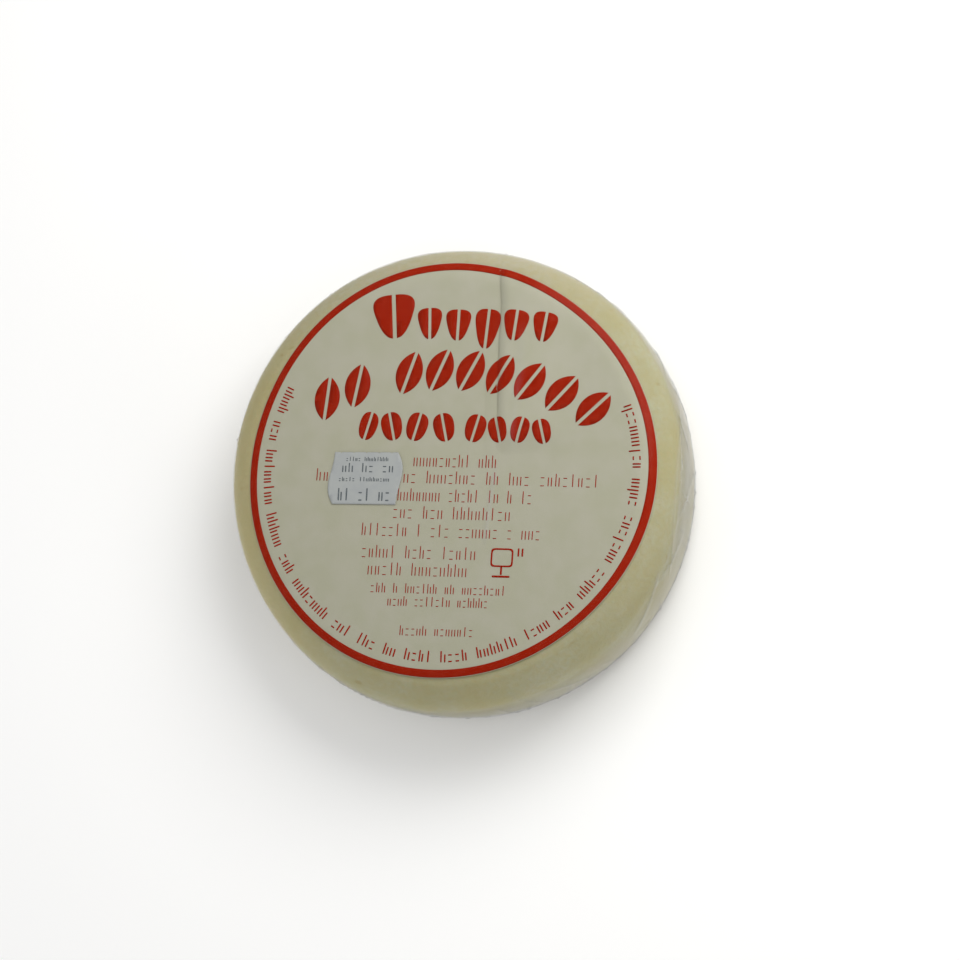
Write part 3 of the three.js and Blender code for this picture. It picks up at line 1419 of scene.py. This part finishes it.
    def build(self) -> list[bpy.types.Object]:
        """Make the paper and everything printed on it.

        Returns:
            The pieces.
        """
        paper = PaperFinish("coated_label_paper", "A3A28E", "A7A594").material()
        ink = InkFinish("brick_red_printing_ink", "8F1C05", "982A14").material()
        disc = make_piece("label_paper", self.paper(), paper)
        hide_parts("label")
        return [
            disc,
            make_piece("label_ring", self.ring(), ink),
            make_piece("label_large_marks", self.large_marks(), ink),
            make_piece("label_small_marks", self.small_marks(), ink),
        ]


# ---------------------------------------------------------------------------- the sticker


@dataclass
class DateSticker:
    """The small hand-labeller sticker: cool white paper with two rows of grey marks."""

    label: PrintedLabel
    edge: float = 19.7
    height: float = 15.7
    bow: float = 1.65
    lean: float = 1.7
    turn: float = -0.055
    thickness: float = 0.09
    above_pack: float = 0.5
    corner_curl: float = 0.03
    side_steps: int = 16
    nicks: int = 5
    nick_depth: float = 0.3
    nick_half: float = 0.3
    curl_from: float = 9.5
    curl_over: float = 3.0
    tile: float = 1.2
    tiles_each_way: tuple[int, int] = (9, 6)
    ink: float = 0.02
    ink_lift: float = 0.015
    seed: int = 5
    middle: Vector = field(init=False)

    def __post_init__(self) -> None:
        """Take the sticker's middle from its solid."""
        low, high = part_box("date_sticker")
        self.middle = (low + high) / 2 / MM

    def outline(self) -> list[tuple[float, float]]:
        """Lay out the sticker's edge, anticlockwise from its lower right corner.

        Returns:
            Points in mm from the sticker's middle.
        """
        side = []
        for i in range(self.side_steps + 1):
            share = i / self.side_steps
            out = self.edge / 2 + self.bow * math.sin(math.pi * share**self.lean)
            side.append((out, self.height * (share - 0.5)))
        nicked = []
        pitch = self.edge / self.nicks
        for i in range(self.nicks):
            x = self.edge / 2 - (i + 0.5) * pitch
            top = self.height / 2
            nicked += [(x + self.nick_half, top), (x, top - self.nick_depth), (x - self.nick_half, top)]
        return [*side, *nicked, *[(-x, -y) for x, y in side]]

    def lay(self, flat: np.ndarray) -> np.ndarray:
        """Lay flat points on the film over the label.

        Args:
            flat: rows of x and y from the sticker's middle, and height above its underside, in mm.

        Returns:
            The points in place, in mm.
        """
        x, y = turn_and_place(flat, self.turn, self.middle)
        corner = np.clip(np.hypot(flat[:, 0], flat[:, 1]) - self.curl_from, 0, None) / self.curl_over
        base = self.label.form.top_level(x, y) + self.above_pack
        return np.stack([x, y, base + flat[:, 2] + self.corner_curl * corner**2], axis=1)

    def paper(self) -> Mesh:
        """Cut out the sticker.

        Returns:
            The sticker, in mm.
        """
        sheet = InkSheet(thickness=self.thickness)
        corners = [sheet.bm.verts.new((x, y, 0)) for x, y in self.outline()]
        edges = [sheet.bm.edges.new(pair) for pair in zip(corners, corners[1:] + corners[:1])]
        bmesh.ops.contextual_create(sheet.bm, geom=edges)
        across, up = (np.arange(-count, count + 1) * self.tile for count in self.tiles_each_way)
        sheet.dice({0: across, 1: up})
        return sheet.settle(self.lay)

    def marks(self) -> Mesh:
        """Print the sticker's two small rows and two rows of larger marks.

        Returns:
            The marks, in mm.
        """
        draw = random.Random(self.seed)
        sheet = InkSheet(thickness=self.ink)
        sheet.add_row(straight_row(0.3, 5.8, 13.4, 1.3, (5, 8), 0.24), draw)
        sheet.add_row(straight_row(-0.4, -0.3, 16.0, 1.3, (5, 9), 0.26), draw)
        sheet.add_row(straight_row(0.6, 3.2, 16.6, 2.8, (2, 2, 2), 0.36), draw)
        sheet.add_row(straight_row(-0.2, -4.9, 16.8, 3.8, (2, 2, 2), 0.42), draw)
        lift = np.array([0, 0, self.thickness + self.ink_lift])
        return sheet.settle(lambda flat: self.lay(flat + lift))

    def build(self) -> list[bpy.types.Object]:
        """Make the sticker and its marks.

        Returns:
            The pieces.
        """
        paper = PaperFinish("white_thermal_paper", "9B9E9C", "969999", 3.0, 0.4, 0.6).material()
        ink = InkFinish("grey_thermal_print", "51575A", "7A7F80", 1.0, 0.6).material()
        sticker = make_piece("sticker_paper", self.paper(), paper)
        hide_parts("date_sticker")
        return [sticker, make_piece("sticker_marks", self.marks(), ink)]


# ---------------------------------------------------------------------------- the film


@dataclass
class ClearFilm:
    """The clear film drawn tight round everything, creased on top and gathered underneath."""

    label: PrintedLabel
    over_label: float = 0.42
    slack: float = 0.12
    over_cakes: float = 0.04
    label_margin: float = 0.7
    label_slope: float = 2.6
    wave_mm: float = 21.0
    fine_wave_ratio: float = 2.7
    fine_wave_share: float = 0.4
    wave_seeds: tuple[float, float] = (1.3, 6.6)
    wave_heights: tuple[float, float] = (0.03, 0.14)
    fold_share: tuple[float, float] = (0.5, 1.0)
    pleats: int = 96
    pleat_depth: float = 0.55
    pleat_shift: float = 0.35
    pleat_width: tuple[float, float] = (0.6, 1.6)
    pleat_lean: float = 0.0045
    pleat_short: tuple[float, float] = (-2.0, 6.0)
    pleat_long: tuple[float, float] = (6.0, 19.0)
    pleat_inner: tuple[float, float] = (9.0, 22.0)
    pleat_fades: tuple[float, float] = (8.0, 12.0)
    pulls: int = 34
    pull_depth: float = 0.42
    pull_shift: float = 0.4
    pull_above: tuple[float, float] = (3.0, 17.0)
    pull_length: tuple[float, float] = (5.0, 13.0)
    pull_lean: tuple[float, float] = (0.25, 1.1)
    pull_width: tuple[float, float] = (0.8, 1.5)
    pull_fade: float = 5.0
    pull_seed: int = 41
    pleat_seed: int = 23
    side_pleat_share: float = 0.7
    tuck_share: float = 0.8
    fold_glare: float = 0.27
    press_glare: float = 0.11
    loose_from: float = 11.0
    loose_over: float = 10.0
    edge_fade: float = 6.0
    under_from: float = 8.0
    floor_gap: float = 0.01
    wedge_steps: int = 32
    section_steps: tuple[int, int, int, int, int] = (18, 14, 16, 26, 60)

    def top_rise(self, x: np.ndarray, y: np.ndarray) -> np.ndarray:
        """Return how far the film stands off the pack's form at each point laid out flat."""
        middle, creases = self.label.middle, self.label.creases
        off = np.hypot(x - middle.x, y - middle.y)
        down = smooth_step((off - self.label.radius - self.label_margin) / self.label_slope)
        step = self.over_label + (self.over_cakes - self.over_label) * down
        return step + creases.film_rise(x, y) + self.slack * creases.film_slack(x, y)

    def pleat_rise(self, angle: np.ndarray, way: np.ndarray, start: float, reach: float) -> np.ndarray:
        """Work out the pleats that run down the heel and in under the pack.

        Args:
            angle: where each point is round the axis.
            way: its way over the surface from the top's middle, in mm.
            start: the way at which the heel begins, in mm.
            reach: the way to the middle of the underside, in mm.

        Returns:
            How far the film stands out (or in, below zero) at each point, in mm.
        """
        draw = random.Random(self.pleat_seed)
        fade_in, fade_out = self.pleat_fades
        rise = np.zeros(angle.shape)
        for i in range(self.pleats):
            toward = (i + draw.uniform(-self.pleat_shift, self.pleat_shift)) / self.pleats * FULL_TURN
            width = draw.uniform(*self.pleat_width) / self.label.form.radius
            lean = draw.uniform(-self.pleat_lean, self.pleat_lean)
            top = start - draw.choice((draw.uniform(*self.pleat_short), draw.uniform(*self.pleat_long)))
            inner = reach - draw.uniform(*self.pleat_inner)
            height = self.pleat_depth * draw.uniform(*self.fold_share)
            turn = turn_from(angle, toward + lean * (way - start))
            ridge = np.clip(1 - np.abs(turn) / width, 0, 1)
            run = smooth_step((way - top) / fade_in) * smooth_step((inner - way) / fade_out)
            rise += height * ridge * ridge * run
        return rise

    def pull_rise(self, angle: np.ndarray, way: np.ndarray, start: float) -> np.ndarray:
        """Work out the slanting tension folds that the shrunk film makes across the side.

        Args:
            angle: where each point is round the axis.
            way: its way over the surface from the top's middle, in mm.
            start: the way at which the heel begins, in mm.

        Returns:
            How far the film stands out at each point, in mm.
        """
        draw = random.Random(self.pull_seed)
        rise = np.zeros(angle.shape)
        for i in range(self.pulls):
            toward = (i + draw.uniform(-self.pull_shift, self.pull_shift)) / self.pulls * FULL_TURN
            middle = start - draw.uniform(*self.pull_above)
            length = draw.uniform(*self.pull_length)
            lean = draw.choice((-1, 1)) * draw.uniform(*self.pull_lean)
            width = draw.uniform(*self.pull_width)
            along, up = turn_from(angle, toward) * self.label.form.radius, way - middle
            across = np.abs(along * math.cos(lean) - up * math.sin(lean))
            run = np.abs(along * math.sin(lean) + up * math.cos(lean))
            ridge = np.clip(1 - across / width, 0, 1)
            height = self.pull_depth * draw.uniform(*self.fold_share)
            rise += height * ridge**2 * smooth_step((length - run) / self.pull_fade)
        return rise

    def paint(self, bm: Mesh, name: str, amounts: np.ndarray) -> None:
        """Note an amount from 0 to 1 at each point, for the film's finish to read."""
        layer = bm.verts.layers.float.new(name)
        for vert, amount in zip(bm.verts, amounts):
            vert[layer] = float(amount)

    def body(self) -> Mesh:
        """Spin the film and draw it over the cakes, the label and its own creases.

        Returns:
            The film, in mm.
        """
        form, creases = self.label.form, self.label.creases
        section = form.section(0.0, self.section_steps)
        surface = SurfaceMap(section)
        bm = revolve(section, self.wedge_steps)
        refine(bm, lambda spots: creases.near_any(*surface.lay_out(spots)), 2)
        points = points_of(bm)
        angle, way, facing = surface.locate(points)
        reach = float(surface.run[-1])
        heel_start = reach - float(surface.run[self.section_steps[0] + self.section_steps[1]])
        flat_x, flat_y = way * np.cos(angle), way * np.sin(angle)
        rise = self.top_rise(flat_x, flat_y)
        broad_seed, fine_seed = self.wave_seeds
        waves = soft_noise(*points.T, self.wave_mm, broad_seed)
        waves += self.fine_wave_share * soft_noise(*points.T, self.wave_mm / self.fine_wave_ratio, fine_seed)
        under = smooth_step((way - heel_start - self.under_from) / self.edge_fade)
        past_label = smooth_step((way - self.label.radius) / self.edge_fade)
        flat_height, rim_height = self.wave_heights
        rise += (flat_height + (rim_height - flat_height) * past_label) * waves * (1 - under)
        pleats = self.pleat_rise(angle, way, heel_start, reach)
        pulls = self.pull_rise(angle, way, heel_start)
        tucked = self.pleat_depth - np.clip(pleats, 0, self.pleat_depth)
        rise += pulls + self.side_pleat_share * pleats * (1 - under) - self.tuck_share * tucked * under
        pressed = creases.flat_place.dent(angle, way)
        rise -= pressed
        # Painted glare: the pleats, the pulls and the pressed flat place are whitened as if they caught the
        # light.
        folded = np.clip(pleats / self.pleat_depth, 0, 1) + np.clip(pulls / self.pull_depth, 0, 1)
        glare_amounts = creases.glare_at(flat_x, flat_y) + self.fold_glare * folded
        glare_amounts += self.press_glare * pressed / creases.flat_place.depth
        self.paint(bm, GLARE_LAYER, glare_amounts)
        past = way - self.label.radius - self.loose_from
        self.paint(bm, LOOSE_LAYER, smooth_step(past / self.loose_over))
        points = form.make_uneven(points) + facing * rise[:, None]
        points[:, 2] = np.maximum(points[:, 2], self.floor_gap)
        move_points(bm, points)
        return bm

    def build(self) -> bpy.types.Object:
        """Make the film.

        Returns:
            The piece.
        """
        piece = make_piece("clear_film", self.body(), ClearFilmFinish().material())
        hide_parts("pack")
        return piece


# ---------------------------------------------------------------------------- the studio


@dataclass(frozen=True)
class SoftBox:
    """One soft square light.

    Args:
        name: what it is called.
        place: where it stands, in metres.
        size: its width, in metres.
        power: in watts.
        colour: its light, as sRGB hex.
    """

    name: str
    place: tuple[float, float, float]
    size: float
    power: float
    colour: str

    def build(self) -> None:
        """Stand the light in place and aim it at the pack."""
        data = bpy.data.lights.new(self.name, "AREA")
        data.shape = "SQUARE"
        data.size = self.size
        data.energy = self.power
        data.color = linear(self.colour)[:3]
        lamp = bpy.data.objects.new(self.name, data)
        lamp.location = self.place
        lamp.rotation_euler = (-Vector(self.place)).to_track_quat("-Z", "Y").to_euler()
        bpy.context.scene.collection.objects.link(lamp)


@dataclass
class Studio:
    """The pale floor, the soft lights and the camera that looks down on the label."""

    floor_size: float = 6.0
    camera_tilt: float = math.radians(17.91)
    camera_toward: float = math.radians(-34.57)
    camera_away_mm: float = 840.0
    lens_mm: float = 102.2
    sensor_mm: float = 36.0
    camera_reach: float = 20.0
    drift_mm: tuple[float, float] = (0.77, 3.84)
    room_colour: str = "F8F8F9"
    room_strength: float = 0.62
    lights: tuple[SoftBox, ...] = (
        SoftBox("key_light", (0.235, 0.27, 0.38), 0.34, 1.92, "FFFEFB"),
        SoftBox("fill_light", (-0.75, -0.66, 0.28), 0.55, 1.8, "FFFFFF"),
        SoftBox("left_light", (-1.0, -0.1, 0.28), 0.55, 1.4, "FFFFFF"),
        SoftBox("right_light", (0.8, -0.6, 0.28), 0.55, 2.1, "FFFFFF"),
    )

    def floor(self) -> None:
        """Lay the floor."""
        bm = bmesh.new()
        bmesh.ops.create_grid(bm, x_segments=8, y_segments=8, size=self.floor_size / 2)
        mesh = bpy.data.meshes.new("floor")
        bm.to_mesh(mesh)
        bm.free()
        mesh.materials.append(FloorFinish().material())
        board = bpy.data.objects.new("floor", mesh)
        bpy.context.scene.collection.objects.link(board)

    def camera(self) -> None:
        """Set up the camera, with the label's top towards the top of the picture."""
        flat = math.sin(self.camera_tilt)
        back = Vector(
            (
                flat * math.cos(self.camera_toward),
                flat * math.sin(self.camera_toward),
                math.cos(self.camera_tilt),
            )
        )
        right = Vector((0, 1, 0)).cross(back).normalized()
        up = back.cross(right)
        data = bpy.data.cameras.new("camera")
        data.lens = self.lens_mm
        data.sensor_width = self.sensor_mm
        data.clip_end = self.camera_reach
        camera = bpy.data.objects.new("camera", data)
        drift = right * self.drift_mm[0] + up * self.drift_mm[1]
        place = (back * self.camera_away_mm + drift) * MM
        turn = Matrix((right, up, back)).transposed().to_4x4()
        camera.matrix_world = Matrix.Translation(place) @ turn
        bpy.context.scene.collection.objects.link(camera)
        bpy.context.scene.camera = camera

    def surroundings(self) -> None:
        """Give the room an even pale light, and show colours as they are."""
        world = bpy.data.worlds.new("pale_room")
        world.use_nodes = True
        tree = world.node_tree
        tree.nodes.clear()
        room = {"Color": linear(self.room_colour), "Strength": self.room_strength}
        sky = add_node(tree, "ShaderNodeBackground", room)
        output = add_node(tree, "ShaderNodeOutputWorld")
        tree.links.new(sky.outputs[0], output.inputs["Surface"])
        bpy.context.scene.world = world
        bpy.context.scene.view_settings.view_transform = "Standard"

    def build(self) -> None:
        """Set up the whole studio."""
        self.floor()
        self.surroundings()
        for light in self.lights:
            light.build()
        self.camera()


def main() -> None:
    """Build the pack from the inside out, then the studio."""
    logging.basicConfig(level=logging.INFO, format="%(name)s %(message)s")
    form = PackForm()
    creases = Creases()
    CornCakes(form, creases).build()
    label = PrintedLabel(form, creases)
    label.build()
    ClearFilm(label).build()
    DateSticker(label).build()
    Studio().build()


if __name__ == "__main__":
    main()
